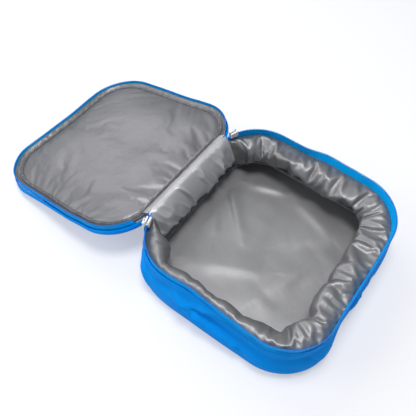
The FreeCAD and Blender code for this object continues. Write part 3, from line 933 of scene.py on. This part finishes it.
def lid_film_place(u, v):
    r, run = square_run(2 * u - 1, 2 * v - 1)
    p, n = edge(run)
    p = (p + n * (ease(LID_OUT, run) - LID_SEAM)) * r
    crown = 4.6 * (1 - r ** 4)
    rough = 1.5 * noise.noise(Vector((p.x * 0.016, p.y * 0.016, 6.0)))
    rough += 0.14 * noise.noise(Vector((p.x * 0.1, p.y * 0.1, 2.0)))
    for a, b, width, height in LID_FOLDS:
        rough += fold_line(p.x, p.y, a, b, width, height)
    return opened(Vector((p.x, p.y, LID_FLOOR - crown - rough * min(1, 4 * (1 - r)))) * MM)


# Painted shade: the lid's film is the lining film drawn a little darker than the collar's, standing in for
# shade on the lid's lining.
lid_film_painted_shade = film("lid_film_painted_shade", 0.06, 0.5, (0.165, 0.165, 0.176), (0.205, 0.205, 0.218))
lid_lining = cloth_grid("lid_lining_film", LID_CELLS, LID_CELLS, lid_film_place, (0.23, 0.216), lid_film_painted_shade,
                        flip=True)
lid_edge = {seam_key(lid_film_place(i / LID_CELLS, j / LID_CELLS))
            for i in range(LID_CELLS + 1) for j in range(LID_CELLS + 1)
            if i in (0, LID_CELLS) or j in (0, LID_CELLS)}
slacken(lid_lining, lid_edge, grow=0.013, push=0.25, frames=24)
smooth_up(lid_lining)
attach(lid_lining, "lid")
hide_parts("lid_lining")

# Lid side lining and binding: a narrow gathered strip of film from the zip
# seam to the lining's edge, and the grey tape that covers the seam between.
def side_film_place(u, v):
    run = u * ROUND
    p = edge(run)[0]
    gather = noise.noise(Vector((p.x * 0.16, p.y * 0.16, 3.0)))
    gather += 0.5 * noise.noise(Vector((p.x * 0.4, p.y * 0.4, 1.0)))
    lift = 0.8 * gather * math.sin(math.pi * v)
    return lid_at(run, 2.3 + 6.4 * v ** 1.3, 71.0 + 4.6 * v ** 0.8 - lift)


side_film = cloth_grid("lid_side_film", 436, 8, side_film_place, (ROUND * MM, 0.009), collar_film,
                       closed=True)
thicken(side_film, FILM)
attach(side_film, "lid")
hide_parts("lid_side_lining")


def lid_binding_place(u, v):
    run = u * ROUND
    by_hinge = 1 - min(1, max(0, min(run, ROUND - run) - 62) / 22)
    x, h = ridge_section(v, 5.0 - 1.4 * by_hinge, 4.6 + 2.8 * by_hinge, 0.62 - 0.56 * by_hinge)
    p = edge(run)[0]
    pucker = 0.4 * noise.noise(Vector((p.x * 0.22, p.y * 0.22, 5.0)))
    return lid_at(run, 9.6 + x + pucker, 74.6 - h * (1 + 0.6 * pucker))


lid_binding = cloth_grid("lid_binding_tape", 436, 16, lid_binding_place, (ROUND * MM, 0.009), binding_cloth,
                         closed=True)
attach(lid_binding, "lid")
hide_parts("lid_binding")

# Lid zip: the other half of the zip, the same tape and coil, sewn inside the
# lid's gusset with one row of stitches.
LID_ZIP_START, LID_TAPE_FOOT, LID_TAPE_HIGH, LID_COIL_Z = 91.0, 68.3, 10.0, 67.65
LID_STITCH_INSET, LID_STITCH_Z = 1.05, 72.6
lid_tape_run = ROUND - 2 * LID_ZIP_START


def lid_tape_place(u, v):
    run = LID_ZIP_START + u * lid_tape_run
    turned = 6.0 * max(0, 1 - (min(run, ROUND - run) - LID_ZIP_START) / 9) ** 1.5
    return lid_at(run, TAPE_INSET, LID_TAPE_FOOT + turned + v * (LID_TAPE_HIGH - turned))


lid_tape = cloth_grid("lid_zip_tape_cloth", 340, 8, lid_tape_place, (lid_tape_run * MM, LID_TAPE_HIGH * MM),
                      zip_tape_painted_lighter, flip=True)
thicken(lid_tape, TAPE, 0.0)
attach(lid_tape, "lid")
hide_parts("lid_zip_tape")


def lid_frame(run, inset, z):
    """Axes along the open lid's edge, out of it and up its wall, at a point of it, as a placing matrix."""
    here, ahead, above = lid_at(run, inset, z), lid_at(run + 0.5, inset, z), lid_at(run, inset, z + 0.5)
    t, u = (ahead - here).normalized(), (above - here).normalized()
    n = u.cross(t)
    made = Matrix((t, n, u)).transposed().to_4x4()
    made.translation = here
    return made


lid_coil = row_of("lid_zip_coil", [lid_frame(run, TAPE_INSET, LID_COIL_Z)
                                   for run in spaced(LID_ZIP_START + 5, COIL_PITCH, 1)], COIL, coil_nylon)
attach(lid_coil, "lid")
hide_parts("lid_zip_chain")
lid_stitch = row_of("lid_tape_stitches", [lid_frame(run, LID_STITCH_INSET, LID_STITCH_Z)
                                          for run in spaced(LID_ZIP_START + 3, STITCH_PITCH)],
                    STITCH, thread_blue)
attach(lid_stitch, "lid")

# Sliders and pull tabs: small die-cast zinc pieces in white enamel, one slider
# on each end of the zip with its tab hanging from the bridge. Four lips on each
# slider, cast in one with it, turn in over the edges of the tape.
enamel = grained("white_enamel", {"Scale": 260.0, "Detail": 4.0},
                 [(0.2, (0.66, 0.65, 0.62)), (0.6, (0.85, 0.85, 0.83))],
                 (0.2, 0.2), (0.1, 0.0002), {"Coat Weight": 0.4, "Coat Roughness": 0.15})
for name in ("far_slider", "near_slider", "far_pull_tab", "near_pull_tab"):
    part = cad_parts[name]
    part.data.materials.clear()
    part.data.materials.append(enamel)
    layer = part.modifiers.new("eased_edges", "BEVEL")
    layer.width, layer.segments, layer.profile = 0.35 * MM, 2, 0.5
    layer.limit_method, layer.angle_limit = "ANGLE", math.radians(40)

SLIDER_RUN, LIP_LONG, LIP_THICK, LIP_BACK = 86.74, 9.0, 0.7, 0.9
for body, run, ahead in (("near_slider", SLIDER_RUN, 1), ("far_slider", ROUND - SLIDER_RUN, -1)):
    bm = bmesh.new()
    for low, high in ((0.75, 1.9), (-2.2, -0.75)):
        shift = Matrix.Translation(Vector((-LIP_BACK * ahead, (low + high) / 2, 0)) * MM)
        shape = Matrix.Diagonal((LIP_LONG * MM, (high - low) * MM, LIP_THICK * MM, 1))
        for z in (69.15, 62.85):
            bmesh.ops.create_cube(bm, size=1.0, matrix=run_frame(run, TAPE_INSET, z) @ shift @ shape)
    bmesh.ops.recalc_face_normals(bm, faces=bm.faces)
    bmesh.ops.bevel(bm, geom=bm.edges[:], offset=0.2 * MM, affect="EDGES", segments=2, profile=0.5,
                    material=-1)
    lips = set_down(body + "_lips", bm, enamel)
    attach(lips, body)
